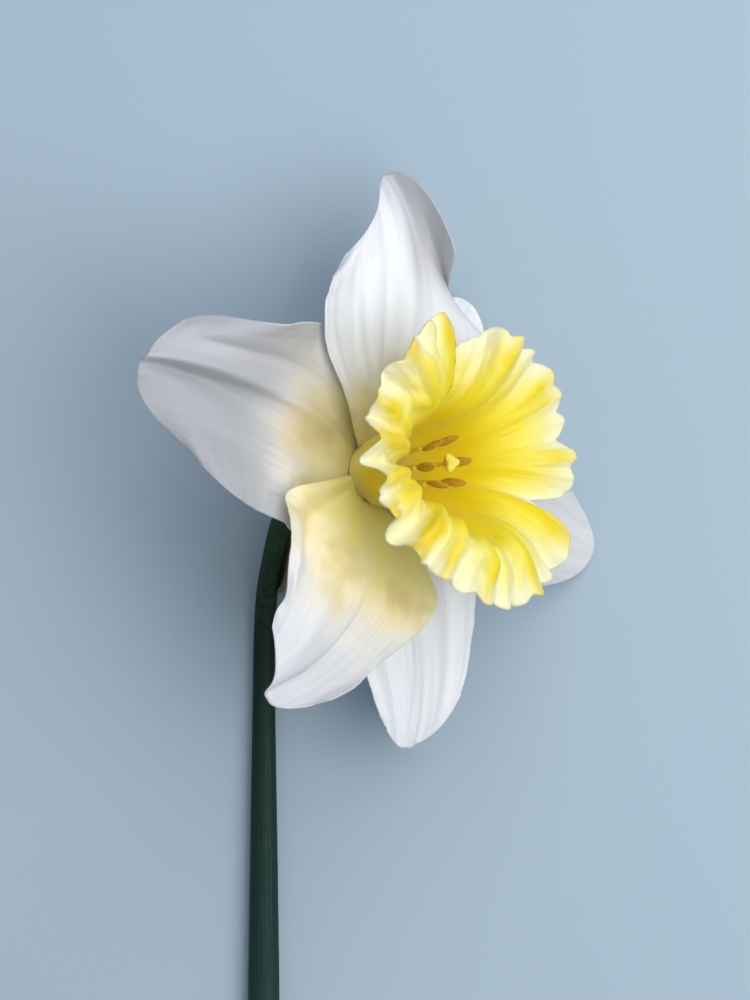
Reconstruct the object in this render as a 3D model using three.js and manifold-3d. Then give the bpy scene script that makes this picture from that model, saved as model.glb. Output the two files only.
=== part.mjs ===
// A single picked daffodil lying on its side: a cut stem with its papery spathe, the ovary and
// floral tube, six tepals in two rings, the frilled corona, six stamens and the pistil.
// Millimetres, +Z up. The stem and the tips of two tepals touch the plane z = 0.
import * as THREE from "three";
import { mergeVertices } from "three/addons/utils/BufferGeometryUtils.js";
import Module from "manifold-3d";

const wasm = await Module();
wasm.setup();

// ---- driving dimensions -------------------------------------------------------------------

const gap = 0.3; // clearance between neighbouring pieces

// The flower's own frame: +Z runs out of the corona mouth, +Y is the flower's top, +X its right.
const flowerCentre = new THREE.Vector3(0.7, 51, 26.4); // where the two rings of tepals meet
const axisRise = THREE.MathUtils.degToRad(45); // how far the axis points up from the floor
const axisYaw = THREE.MathUtils.degToRad(7); // and how far it turns from +X towards +Y

const tepalThickness = 0.8;
const tepalRows = 16; // cells along a tepal
const tepalColumns = 10; // cells across it
const tepalRingRadius = 7; // every tepal starts this far from the axis
const innerRingHeight = -0.6; // the three front tepals start here along the axis
const outerRingHeight = -2.2; // the three back ones start lower
const cornerPower = 2.2; // how round the tip's corners are
const foldSoftness = 1.5; // half-width over which the midrib fold is rounded
const waveCycles = 1.5; // waves along each margin

// Six tepals, clockwise from the top. bearing, lift, roll and fold are degrees; "right" is the
// clockwise margin. lift is the blade's angle above the ring plane, from base to tip, and curl
// is added to it past three fifths of the length; sweep, cornerDrop, lobe and notch are shares
// of the length; claw, tip and the right margin's extra are shares of the half-width.
// A dent of the right margin has its place along the blade, its half-length and its depth.
const tepals = [
  {
    name: "tepal_inner_top", inner: true, bearing: 6.5, length: 45.7, halfWidth: 17.5,
    rightExtra: -0.06, cornerDrop: 0.29, lift: [24.2, -13.8], curl: -20.4, sweep: 0.04,
    roll: [-14.8, 27.3], fold: { left: -13.2, right: 0.5 }, cup: 4.6, lobe: 0.11, notch: 0.015,
    claw: 0.28, widestAt: 0.53, tip: 0.52,
    wave: { left: [1.5, 0.3], right: [5.6, -0.3] },
  },
  {
    name: "tepal_outer_upper_right", inner: false, bearing: 47.8, length: 37.4, halfWidth: 16.5,
    rightExtra: 0.07, cornerDrop: 0.29, lift: [5.4, -10], curl: -2, sweep: 0.03,
    roll: [0, 2], fold: { left: 4.3, right: 1.7 }, cup: -0.2, lobe: 0.008, notch: 0.007,
    claw: 0.22, widestAt: 0.42, tip: 0.6,
    wave: { left: [-1, 0.4], right: [1.1, 0.12] },
  },
  {
    name: "tepal_inner_right", inner: true, bearing: 115.3, length: 43.3, halfWidth: 16.6,
    rightExtra: -0.14, cornerDrop: 0.24, lift: [11.7, 6.1], curl: 15.8, sweep: 0,
    roll: [-1.2, 0], fold: { left: 7.5, right: 3.8 }, cup: 4.6, lobe: -0.02, notch: 0,
    claw: 0.3, widestAt: 0.41, tip: 0.6,
    wave: { left: [-0.5, 0.37], right: [0.9, 0.14] },
  },
  {
    name: "tepal_outer_bottom", inner: false, bearing: 169.8, length: 46.1, halfWidth: 17.6,
    rightExtra: 0.06, cornerDrop: 0.18, lift: [11.2, -27.3], curl: -9.8, sweep: -0.014,
    roll: [-2, -4.4], fold: { left: 8, right: 14 }, cup: -1.6, lobe: 0, notch: 0.005,
    claw: 0.34, widestAt: 0.32, tip: 0.56,
    wave: { left: [-0.5, 0.26], right: [0.7, 0.34] },
  },
  {
    name: "tepal_inner_lower_left", inner: true, bearing: 209.6, length: 44.6, halfWidth: 18.2,
    rightExtra: 0.28, cornerDrop: 0.12, lift: [34.6, -16.1], curl: -20.1, sweep: 0.335,
    roll: [17.4, -3.4], fold: { left: 16.5, right: -15.7 }, cup: 2, lobe: -0.034, notch: 0.018,
    claw: 0.3, rightClaw: 0.15, widestAt: 0.36, tip: 0.4,
    rightDents: [[0.16, 0.12, 0.14], [0.84, 0.07, 0.11]],
    wave: { left: [2.8, -0.2], right: [-1.7, -0.2] },
  },
  {
    name: "tepal_outer_left", inner: false, bearing: 308.7, length: 45.1, halfWidth: 19.2,
    rightExtra: -0.2, cornerDrop: 0.16, lift: [15.1, -32], curl: -17.7, sweep: -0.27,
    roll: [6.6, 53.9], fold: { left: 34.2, right: -3.3 }, cup: 0, lobe: -0.01, notch: 0,
    claw: 0.38, widestAt: 0.33, tip: 0.545,
    wave: { left: [1.7, 0.17], right: [-4.3, -0.2] },
  },
];

const corona = {
  foot: new THREE.Vector2(5.3, -2.6), // radius and height where the wall starts
  footFlare: 14, // degrees off the axis
  length: 38.5, // along the wall, from foot to rim
  thickness: 0.9,
  pleats: { count: 11, depth: 0.75, power: 1.3, phase: 35 }, // broad folds that reach down into the cup
  // tight folds of the rim, deep on the left, where it rolls back, and shallow on the right
  ruffles: { count: 21, left: 1.5, right: 0.15, power: 3, phase: 150 },
  lobes: { count: 31, depth: 0.035, phase: 29 }, // the rim's rounded teeth
  columns: 124, // four to a lobe
  rows: 12,
  // every 30 degrees from the top, clockwise: the share of the length where the wall bends into
  // its lip, half the share that the bend takes, the wall's flare and the lip's flare in
  // degrees, and the wall's length against the usual one
  form: [
    [0.6, 0.29, 14, 95, 0.98],
    [0.7, 0.29, 14, 87, 0.98],
    [0.62, 0.29, 14, 86, 0.98],
    [0.64, 0.29, 14, 83, 0.96],
    [0.62, 0.27, 16, 80, 1.04],
    [0.74, 0.16, 19, 90, 1.04],
    [0.86, 0.1, 21, 98, 1.11],
    [0.86, 0.12, 18, 106, 1.1],
    [0.7, 0.18, 15, 98, 0.99],
    [0.57, 0.26, 14, 76, 0.89],
    [0.64, 0.29, 14, 96, 0.94],
    [0.77, 0.29, 14, 93, 1.1],
  ],
  // splits between the rim's lobes: bearing, half-width in degrees, depth as a share of length
  splits: [
    [346, 6, 0.05],
    [359, 5, 0.2],
    [8, 8, 0.15],
    [86, 5, 0.05],
    [102, 5, 0.04],
    [119, 8, 0.28],
  ],
};

const tube = {
  top: -3, // the rim that the tepals and the corona stand on
  topRadius: 7.5,
  rimWidth: 2.3,
  bottom: -13.2,
  bottomRadius: 2.7,
  wall: 1,
  throatFloor: -10,
  throatRadius: 2.15,
  sides: 24,
};

const ovary = { length: 8.6, radius: 3.2, waist: 2.1, sides: 24 };

const stamen = {
  count: 6,
  footRadius: 1.38,
  headRadius: 3.6,
  headHeight: 12.4,
  filamentRadius: 0.48,
  antherLength: 5.8,
  antherWidth: 1.7,
  antherDepth: 1.2,
};

const pistil = { radius: 0.5, height: 17.2, stigmaRadius: 1.5, stigmaHeight: 1.3 };

// The stem's axis: it lies on the floor, lifts at the neck and bends into the flower's axis.
const stemX = -21.1;
const stem = {
  line: [
    [stemX, -106, 2.85],
    [stemX, -48, 2.6],
    [stemX, -20, 2.25],
    [stemX, 8, 1.85],
    [-21, 20, 2.0],
    [-20.4, 29, 3.4],
    [-18.3, 39.4, 6.0],
    [-16.4, 46.4, 8.4],
  ],
  radii: [2.95, 2.7, 2.35, 1.95, 1.85, 1.85, 1.9, 1.9, 1.9], // at the points above and the end
  keel: 0.08, // the section is a little two-edged
  steps: 32,
  sides: 12,
};

const spathe = {
  line: [
    [-20.3, 29.5, 3.6],
    [-18.5, 38, 5.6],
    [-17.6, 45, 5.6],
    [-17, 53, 5.2],
    [-16.6, 61, 4.6],
  ],
  thickness: 0.6,
  baseRadius: 2.85,
  fullRadius: 3, // half way along, where it gapes round the neck
  tipRadius: 1.6,
  wrap: [88, 25], // half the angle that it goes round, at the base and at the tip
  facing: new THREE.Vector3(0.8, 0, -0.6), // the side of the neck that it covers
  rows: 12,
  columns: 10,
};

// ---- shared geometry ----------------------------------------------------------------------

const degrees = THREE.MathUtils.degToRad;
const { clamp, lerp, smoothstep } = THREE.MathUtils;

function material(name, color, roughness) {
  const made = new THREE.MeshStandardMaterial({ color, roughness, metalness: 0 });
  made.side = THREE.DoubleSide;
  made.name = name;
  return made;
}

function piece(name, geometry, look) {
  geometry.computeVertexNormals();
  const mesh = new THREE.Mesh(geometry, look.clone());
  mesh.name = name;
  return mesh;
}

function geometryFrom(points, triangles) {
  const made = new THREE.BufferGeometry();
  made.setAttribute("position", new THREE.Float32BufferAttribute(points.flatMap((p) => p.toArray()), 3));
  made.setIndex(triangles);
  return made;
}

// Turns every triangle over if the closed surface encloses a negative volume.
function facingOut(points, triangles) {
  let volume = 0;
  for (let i = 0; i < triangles.length; i += 3) {
    const [a, b, c] = [0, 1, 2].map((k) => points[triangles[i + k]]);
    volume += a.dot(new THREE.Vector3().crossVectors(b, c));
  }
  if (volume < 0) triangles.reverse();
  return geometryFrom(points, triangles);
}

// The unit normal of a surface at (u, v), by small steps either way.
function surfaceNormal(surface, u, v) {
  const step = 1e-3;
  const alongU = surface(u + step, v).sub(surface(u - step, v));
  const alongV = surface(u, v + step).sub(surface(u, v - step));
  return alongU.cross(alongV).normalize();
}

// A sheet of even thickness round surface(u, v), u from 0 to 1 in rows, v from 0 to 1 in
// columns. Both faces are split into the same triangles. A ring joins its last column to its
// first, and any other sheet has a narrow edge face all round.
function thickSheet(surface, rows, columns, thickness, ring = false) {
  const across = ring ? columns : columns + 1;
  const points = [];
  for (const side of [1, -1]) {
    for (let i = 0; i <= rows; i++) {
      for (let j = 0; j < across; j++) {
        const [u, v] = [i / rows, j / columns];
        const offset = surfaceNormal(surface, u, v).multiplyScalar((side * thickness) / 2);
        points.push(surface(u, v).add(offset));
      }
    }
  }
  const faceSize = (rows + 1) * across;
  const front = (i, j) => i * across + (j % across);
  const back = (i, j) => front(i, j) + faceSize;
  const triangles = [];
  for (let i = 0; i < rows; i++) {
    for (let j = 0; j < columns; j++) {
      const corners = [[i, j], [i + 1, j], [i + 1, j + 1], [i, j + 1]];
      const [a, b, c, d] = corners.map(([r, k]) => front(r, k));
      const [e, f, g, h] = corners.map(([r, k]) => back(r, k));
      triangles.push(a, b, c, a, c, d);
      triangles.push(e, g, f, e, h, g);
    }
  }
  const edge = (p, q) => {
    triangles.push(front(...q), front(...p), back(...p));
    triangles.push(front(...q), back(...p), back(...q));
  };
  for (let j = 0; j < columns; j++) {
    edge([0, j + 1], [0, j]);
    edge([rows, j], [rows, j + 1]);
  }
  for (let i = 0; i < rows && !ring; i++) {
    edge([i, 0], [i + 1, 0]);
    edge([i + 1, columns], [i, columns]);
  }
  return facingOut(points, triangles);
}

// A closed bar along a curve; section(t, angle) is its radius, and t runs from 0 to 1.
function bar(curve, section, steps, sides) {
  const frames = curve.computeFrenetFrames(steps, false);
  const points = [];
  for (let i = 0; i <= steps; i++) {
    const centre = curve.getPointAt(i / steps);
    for (let j = 0; j < sides; j++) {
      const angle = (2 * Math.PI * j) / sides;
      const radius = section(i / steps, angle);
      const rim = centre.clone();
      rim.addScaledVector(frames.normals[i], radius * Math.cos(angle));
      rim.addScaledVector(frames.binormals[i], radius * Math.sin(angle));
      points.push(rim);
    }
  }
  const triangles = [];
  for (let i = 0; i < steps; i++) {
    for (let j = 0; j < sides; j++) {
      const next = (j + 1) % sides;
      const [a, b] = [i * sides + j, i * sides + next];
      triangles.push(a, b, b + sides, a, b + sides, a + sides);
    }
  }
  const last = steps * sides;
  for (let j = 1; j < sides - 1; j++) {
    triangles.push(0, j + 1, j);
    triangles.push(last, last + j, last + j + 1);
  }
  return facingOut(points, triangles);
}

// A turned solid round the flower's axis, from a closed profile of [radius, height] pairs that
// start and end on the axis.
function turned(profile, sides) {
  const outline = profile.map(([radius, height]) => new THREE.Vector2(radius, height));
  return new THREE.LatheGeometry(outline, sides).rotateX(Math.PI / 2);
}

function solidOf(geometry) {
  const bare = geometry.clone();
  bare.deleteAttribute("normal");
  bare.deleteAttribute("uv");
  const merged = mergeVertices(bare, 1e-4);
  return new wasm.Manifold(
    new wasm.Mesh({
      numProp: 3,
      vertProperties: merged.attributes.position.array,
      triVerts: new Uint32Array(merged.index.array),
    }),
  );
}

function geometryOf(solid) {
  const mesh = solid.getMesh();
  const made = new THREE.BufferGeometry();
  made.setAttribute("position", new THREE.BufferAttribute(mesh.vertProperties, 3));
  made.setIndex(new THREE.BufferAttribute(mesh.triVerts, 1));
  return made;
}

// Takes away what lies below the floor, which leaves a small flat spot to rest on.
function cutAtFloor(geometry) {
  const depth = 10;
  const slab = new THREE.BoxGeometry(400, 400, depth).translate(0, 0, -depth / 2);
  return geometryOf(solidOf(geometry).subtract(solidOf(slab)));
}

// ---- the flower's frame -------------------------------------------------------------------

const axis = new THREE.Vector3(
  Math.cos(axisRise) * Math.cos(axisYaw),
  Math.cos(axisRise) * Math.sin(axisYaw),
  Math.sin(axisRise),
);
const top = new THREE.Vector3(-Math.sin(axisYaw), Math.cos(axisYaw), 0);
const right = new THREE.Vector3().crossVectors(top, axis);
const flowerFrame = new THREE.Matrix4().makeBasis(right, top, axis).setPosition(flowerCentre);

// ---- tepals -------------------------------------------------------------------------------

// A cubic from (x0, y0) to (x1, y1) with the given slopes.
function blend(x, x0, x1, y0, y1, slope0, slope1) {
  const t = (x - x0) / (x1 - x0);
  const reach = x1 - x0;
  const start = (2 * t ** 3 - 3 * t ** 2 + 1) * y0 + (t ** 3 - 2 * t ** 2 + t) * reach * slope0;
  return start + (3 * t ** 2 - 2 * t ** 3) * y1 + (t ** 3 - t ** 2) * reach * slope1;
}

// Half-width at s of the length, as a share of the widest.
function widthShare(tepal, s, rightSide) {
  const { widestAt, tip, cornerDrop } = tepal;
  const claw = rightSide ? tepal.rightClaw ?? tepal.claw : tepal.claw;
  if (s < widestAt) return blend(s, 0, widestAt, claw, 1, (1.35 * (1 - claw)) / widestAt, 0);
  const tipSlope = (-tip * (1 - 2 * cornerDrop)) / (cornerPower * cornerDrop);
  return blend(s, widestAt, 1, 1, tip, 0, tipSlope);
}

// The midrib's run out from its foot and its rise along the axis, as shares of the length.
function midrib(tepal, share) {
  const steps = 40;
  const angleAt = (t) => {
    const curl = (degrees(tepal.curl) * Math.max(t - 0.6, 0) ** 2) / 0.16;
    return degrees(lerp(tepal.lift[0], tepal.lift[1], t)) + curl;
  };
  let [run, rise] = [0, 0];
  for (let i = 0; i < steps; i++) {
    const middle = angleAt(((i + 0.5) * share) / steps);
    run += (Math.cos(middle) * share) / steps;
    rise += (Math.sin(middle) * share) / steps;
  }
  return { run, rise, angle: angleAt(share) };
}

// The blade's mid surface at s along it and w across it, from -1 (left) to 1 (right).
function tepalPoint(tepal, s, w) {
  const rightSide = w > 0;
  const [side, reach] = [Math.sign(w), Math.abs(w)];
  const half = tepal.halfWidth * (1 + side * tepal.rightExtra);
  let x = w * half * widthShare(tepal, s, rightSide);
  for (const [at, width, depth] of rightSide ? tepal.rightDents ?? [] : []) {
    x *= 1 - depth * Math.exp(-(((s - at) / width) ** 2)) * reach ** 2;
  }
  const cornerLobe = tepal.lobe * side * 4 * reach * (1 - reach) * s ** 4;
  const tipNotch = tepal.notch * Math.exp(-((w / 0.16) ** 2)) * s ** 8;
  const along = s - tepal.cornerDrop * reach ** cornerPower * s ** 2 + cornerLobe + tipNotch;

  const { run, rise, angle } = midrib(tepal, along);
  const bearing = degrees(tepal.bearing);
  const out = new THREE.Vector3(Math.sin(bearing), Math.cos(bearing), 0);
  const clockwise = new THREE.Vector3(Math.cos(bearing), -Math.sin(bearing), 0);
  const forward = new THREE.Vector3(0, 0, 1);
  const ringHeight = tepal.inner ? innerRingHeight : outerRingHeight;
  const wrapAngle = Math.min(Math.abs(x) / tepalRingRadius, 1.2); // the foot wraps round the ring
  const wrap = tepalRingRadius * (1 - Math.cos(wrapAngle)) * (1 - smoothstep(s, 0, 0.4));
  const point = out.clone().multiplyScalar(tepalRingRadius + run * tepal.length - wrap);
  point.addScaledVector(forward, ringHeight + rise * tepal.length);
  point.addScaledVector(clockwise, tepal.sweep * tepal.length * along ** 2);

  const tangent = out.clone().multiplyScalar(Math.cos(angle));
  tangent.addScaledVector(forward, Math.sin(angle));
  tangent.addScaledVector(clockwise, 2 * tepal.sweep * along).normalize();
  const across = clockwise.clone().addScaledVector(tangent, -clockwise.dot(tangent)).normalize();
  const normal = new THREE.Vector3().crossVectors(across, tangent);
  const settled = smoothstep(along, 0, 0.2); // every blade leaves the ring flat
  const roll = settled * degrees(lerp(tepal.roll[0], tepal.roll[1], clamp(along, 0, 1.3)));
  const rolledAcross = across.clone().multiplyScalar(Math.cos(roll));
  rolledAcross.addScaledVector(normal, Math.sin(roll));
  const rolledNormal = normal.clone().multiplyScalar(Math.cos(roll));
  rolledNormal.addScaledVector(across, -Math.sin(roll));

  const fold = degrees(rightSide ? tepal.fold.right : tepal.fold.left) * clamp(3 * s, 0, 1);
  const [depth, phase] = rightSide ? tepal.wave.right : tepal.wave.left;
  const wave = depth * Math.sin(2 * Math.PI * (waveCycles * s + phase)) * reach ** 2;
  let raise = (Math.hypot(x, foldSoftness) - foldSoftness) * Math.sin(fold);
  raise += tepal.cup * (x / tepal.halfWidth) ** 2 + wave * clamp(2.5 * s, 0, 1);
  point.addScaledVector(rolledAcross, x * Math.cos(fold));
  return point.addScaledVector(rolledNormal, raise);
}

function tepalGeometry(tepal) {
  const surface = (u, v) => tepalPoint(tepal, u, 2 * v - 1);
  return thickSheet(surface, tepalRows, tepalColumns, tepalThickness);
}

// ---- corona -------------------------------------------------------------------------------

// Degrees from one bearing to another, between -180 and 180.
function turnBetween(from, to) {
  return ((((to - from + 180) % 360) + 360) % 360) - 180;
}

// one column of the form at any bearing, on a smooth closed curve
function coronaForm(column, bearing) {
  const { form } = corona;
  const place = (bearing / 360) * form.length;
  const before = Math.floor(place);
  const t = place - before;
  const value = (k) => form[(before + k + form.length) % form.length][column];
  const [a, b, c, d] = [value(-1), value(0), value(1), value(2)];
  return b + 0.5 * t * (c - a + t * (2 * a - 5 * b + 4 * c - d + t * (3 * (b - c) + d - a)));
}

function coronaPoint(s, turn) {
  const bearing = 360 * turn;
  const around = 2 * Math.PI * turn;
  const along = Math.max(s, 0);
  const { footFlare, pleats, ruffles, lobes } = corona;
  const [bend, reach, wallFlare, lipFlare] = [0, 1, 2, 3].map((k) => coronaForm(k, bearing));
  const lobe = Math.abs(Math.cos((lobes.count * around) / 2 + degrees(lobes.phase))) ** 0.7;
  let share = along * coronaForm(4, bearing) * (1 - lobes.depth * (1 - lobe));
  for (const [at, halfWidth, depth] of corona.splits) {
    share *= 1 - depth * Math.exp(-((turnBetween(at, bearing) / halfWidth) ** 2));
  }
  let [radius, height] = [corona.foot.x, corona.foot.y];
  let angle = 0;
  const steps = 24;
  for (let i = 0; i < steps; i++) {
    const t = ((i + 0.5) * share) / steps;
    const flare = lerp(footFlare, wallFlare, Math.min(t / 0.35, 1));
    const bent = smoothstep(t, bend - reach, bend + reach);
    angle = degrees(lerp(flare, lipFlare, bent));
    radius += (Math.sin(angle) * share * corona.length) / steps;
    height += (Math.cos(angle) * share * corona.length) / steps;
  }
  const uneven = 1 + 0.35 * Math.sin(3 * around + 1) + 0.2 * Math.sin(5 * around + 2);
  const ruffle = lerp(ruffles.left, ruffles.right, (1 + Math.sin(around)) / 2);
  let fold = pleats.depth * along ** pleats.power * Math.cos(pleats.count * around + degrees(pleats.phase));
  fold += ruffle * along ** ruffles.power * Math.cos(ruffles.count * around + degrees(ruffles.phase));
  radius += fold * uneven * Math.cos(angle);
  height -= fold * uneven * Math.sin(angle);
  return new THREE.Vector3(radius * Math.sin(around), radius * Math.cos(around), height);
}

function coronaGeometry() {
  return thickSheet(coronaPoint, corona.rows, corona.columns, corona.thickness, true);
}

// ---- tube, ovary, stamens and pistil ------------------------------------------------------

function tubeGeometry() {
  const { top: rim, topRadius, rimWidth, bottom, bottomRadius, wall, throatFloor, throatRadius } = tube;
  const waist = lerp(bottomRadius, topRadius, 0.12);
  const shoulder = lerp(bottomRadius, topRadius, 0.5);
  return turned(
    [
      [0, bottom],
      [bottomRadius, bottom],
      [waist, lerp(bottom, rim, 0.35)],
      [shoulder, lerp(bottom, rim, 0.75)],
      [topRadius, rim - 0.6],
      [topRadius, rim],
      [topRadius - rimWidth, rim],
      [shoulder - wall, lerp(bottom, rim, 0.75)],
      [throatRadius, throatFloor],
      [0, throatFloor],
    ],
    tube.sides,
  );
}

function ovaryGeometry() {
  const end = tube.bottom - gap;
  const start = end - ovary.length;
  const profile = [[0, start]];
  const steps = 8;
  for (let i = 0; i <= steps; i++) {
    const t = i / steps;
    const bulge = Math.sin(Math.PI * t) ** 0.7;
    profile.push([lerp(ovary.waist, ovary.radius, bulge), lerp(start, end, t)]);
  }
  profile.push([0, end]);
  const made = turned(profile, ovary.sides);
  const position = made.attributes.position;
  for (let i = 0; i < position.count; i++) {
    const angle = Math.atan2(position.getY(i), position.getX(i));
    const swell = 1 + 0.05 * Math.cos(3 * angle); // three chambers, so a rounded triangle
    position.setXY(i, position.getX(i) * swell, position.getY(i) * swell);
  }
  return made;
}

function stamenPlace(index) {
  const angle = (2 * Math.PI * (index + 0.5)) / stamen.count;
  return new THREE.Vector3(Math.sin(angle), Math.cos(angle), 0);
}

function filamentGeometry(index) {
  const out = stamenPlace(index);
  const foot = out.clone().multiplyScalar(stamen.footRadius).setZ(tube.throatFloor + gap);
  const knee = out.clone().multiplyScalar(lerp(stamen.footRadius, stamen.headRadius, 0.35)).setZ(-2);
  const head = out.clone().multiplyScalar(stamen.headRadius).setZ(stamen.headHeight);
  const line = new THREE.QuadraticBezierCurve3(foot, knee, head);
  return bar(line, (t) => stamen.filamentRadius * lerp(1, 0.8, t), 8, 8);
}

// Two pollen sacs side by side, as one grooved pod, leaning out over the filament's head.
function antherGeometry(index) {
  const { antherLength, antherWidth, antherDepth, headRadius, headHeight } = stamen;
  const pod = new THREE.SphereGeometry(0.5, 12, 8);
  const position = pod.attributes.position;
  for (let i = 0; i < position.count; i++) {
    const [x, y, z] = [position.getX(i), position.getY(i), position.getZ(i)];
    const groove = 1 - 0.35 * Math.exp(-((x / 0.16) ** 2));
    position.setXYZ(i, x * antherWidth, -z * antherDepth * groove, y * antherLength);
  }
  const out = stamenPlace(index);
  const lean = new THREE.Matrix4().makeRotationX(-degrees(index % 2 ? 16 : 8));
  const turn = new THREE.Matrix4().makeRotationZ(-Math.atan2(out.x, out.y));
  const podHeight = headHeight + gap + antherLength / 2 + 0.1;
  const place = out.clone().multiplyScalar(headRadius + 0.35).setZ(podHeight);
  const shift = new THREE.Matrix4().makeTranslation(place.x, place.y, place.z);
  return pod.applyMatrix4(lean).applyMatrix4(turn).applyMatrix4(shift);
}

// The style with its three-lobed stigma on top.
function pistilGeometry() {
  const foot = tube.throatFloor + gap;
  const neck = pistil.height - 1;
  const made = turned(
    [
      [0, foot],
      [pistil.radius, foot],
      [pistil.radius * 0.85, neck],
      [pistil.stigmaRadius * 0.8, pistil.height],
      [pistil.stigmaRadius, pistil.height + pistil.stigmaHeight * 0.5],
      [pistil.stigmaRadius * 0.7, pistil.height + pistil.stigmaHeight],
      [0, pistil.height + pistil.stigmaHeight * 0.75],
    ],
    18,
  );
  const position = made.attributes.position;
  for (let i = 0; i < position.count; i++) {
    const [x, y, z] = [position.getX(i), position.getY(i), position.getZ(i)];
    const share = clamp((z - neck) / (pistil.height - neck), 0, 1);
    const swell = 1 + 0.3 * share * Math.cos(3 * Math.atan2(y, x));
    position.setXY(i, x * swell, y * swell);
  }
  return made;
}

// ---- stem and spathe ----------------------------------------------------------------------

function stemGeometry() {
  const stemEnd = tube.bottom - 2 * gap - ovary.length;
  const tip = flowerCentre.clone().addScaledVector(axis, stemEnd);
  const beforeTip = flowerCentre.clone().addScaledVector(axis, stemEnd - 3);
  const points = stem.line.map((place) => new THREE.Vector3(...place));
  const curve = new THREE.CatmullRomCurve3([...points, beforeTip, tip], false, "centripetal");
  const last = stem.radii.length - 1;
  const spans = [0];
  const all = [...points, tip];
  for (let i = 1; i < all.length; i++) spans.push(spans[i - 1] + all[i].distanceTo(all[i - 1]));
  const section = (t, angle) => {
    const at = t * spans[last];
    let k = 1;
    while (k < last && spans[k] < at) k++;
    const share = clamp((at - spans[k - 1]) / (spans[k] - spans[k - 1]), 0, 1);
    return lerp(stem.radii[k - 1], stem.radii[k], share) * (1 + stem.keel * Math.cos(2 * angle));
  };
  return cutAtFloor(bar(curve, section, stem.steps, stem.sides));
}

function spathePoint(curve, u, w) {
  const s = clamp(u, 0, 1);
  const centre = curve.getPointAt(s);
  const tangent = curve.getTangentAt(s);
  const outer = spathe.facing.clone();
  outer.addScaledVector(tangent, -outer.dot(tangent)).normalize();
  const side = new THREE.Vector3().crossVectors(tangent, outer);
  const gape = Math.sin(Math.PI * clamp(s / 0.9, 0, 1)) ** 1.5;
  const radius = lerp(lerp(spathe.baseRadius, spathe.tipRadius, s), spathe.fullRadius, gape);
  const wrap = degrees(lerp(spathe.wrap[0], spathe.wrap[1], s ** 0.6)) * w;
  centre.addScaledVector(outer, radius * Math.cos(wrap));
  return centre.addScaledVector(side, radius * Math.sin(wrap));
}

function spatheGeometry() {
  const curve = new THREE.CatmullRomCurve3(spathe.line.map((place) => new THREE.Vector3(...place)));
  const surface = (u, v) => spathePoint(curve, u, 2 * v - 1);
  return thickSheet(surface, spathe.rows, spathe.columns, spathe.thickness);
}

// ---- assembly -----------------------------------------------------------------------------

const looks = {
  petal: material("petal white", 0xf1f0f2, 0.55),
  corona: material("corona yellow", 0xf2dc3c, 0.5),
  anther: material("anther orange", 0xb8741c, 0.8),
  filament: material("filament cream", 0xe4dd7a, 0.5),
  tube: material("tube green yellow", 0xa9b35a, 0.5),
  ovary: material("ovary green", 0x4f7a3a, 0.5),
  stem: material("stem green", 0x2f5f45, 0.45),
  spathe: material("spathe brown", 0x9a7850, 0.85),
};

const daffodil = new THREE.Group();
daffodil.name = "daffodil";
const flower = new THREE.Group();
flower.name = "flower";
flower.applyMatrix4(flowerFrame);
daffodil.add(flower);

for (const tepal of tepals) {
  const blade = tepalGeometry(tepal);
  const lowest = new THREE.Box3().setFromBufferAttribute(
    blade.clone().applyMatrix4(flowerFrame).attributes.position,
  ).min.z;
  if (lowest < 0) {
    daffodil.add(piece(tepal.name, cutAtFloor(blade.applyMatrix4(flowerFrame)), looks.petal));
  } else {
    flower.add(piece(tepal.name, blade, looks.petal));
  }
}

flower.add(piece("corona", coronaGeometry(), looks.corona));
flower.add(piece("floral_tube", tubeGeometry(), looks.tube));
flower.add(piece("ovary", ovaryGeometry(), looks.ovary));
flower.add(piece("pistil", pistilGeometry(), looks.filament));
for (let index = 0; index < stamen.count; index++) {
  flower.add(piece(`filament_${index + 1}`, filamentGeometry(index), looks.filament));
  flower.add(piece(`anther_${index + 1}`, antherGeometry(index), looks.anther));
}
daffodil.add(piece("stem", stemGeometry(), looks.stem));
daffodil.add(piece("spathe", spatheGeometry(), looks.spathe));

export default daffodil;
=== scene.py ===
import math

import bpy
import numpy as np
from mathutils import Matrix, Vector


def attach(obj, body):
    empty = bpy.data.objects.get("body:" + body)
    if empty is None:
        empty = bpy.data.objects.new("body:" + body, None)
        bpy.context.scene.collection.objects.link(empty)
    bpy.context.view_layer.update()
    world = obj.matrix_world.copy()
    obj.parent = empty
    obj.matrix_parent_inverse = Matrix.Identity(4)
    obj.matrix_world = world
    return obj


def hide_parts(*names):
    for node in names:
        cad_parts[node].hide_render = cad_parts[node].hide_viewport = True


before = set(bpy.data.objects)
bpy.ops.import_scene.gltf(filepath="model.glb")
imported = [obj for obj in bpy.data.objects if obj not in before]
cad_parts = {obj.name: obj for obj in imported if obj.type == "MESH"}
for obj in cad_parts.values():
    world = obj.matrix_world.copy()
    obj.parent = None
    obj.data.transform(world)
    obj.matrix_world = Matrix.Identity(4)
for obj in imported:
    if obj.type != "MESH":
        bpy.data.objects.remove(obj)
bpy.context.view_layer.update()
print("frame loaded")

mm = 0.001

# Daffodil lying on its side. Lengths in the dictionaries are millimetres, angles are degrees.
flower = {
    "centre": (0.7, 51, 26.4),  # where the two rings of tepals meet
    "rise": 45,  # the axis points this far up from the floor
    "yaw": 7,  # and turns this far from +X towards +Y
}


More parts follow.
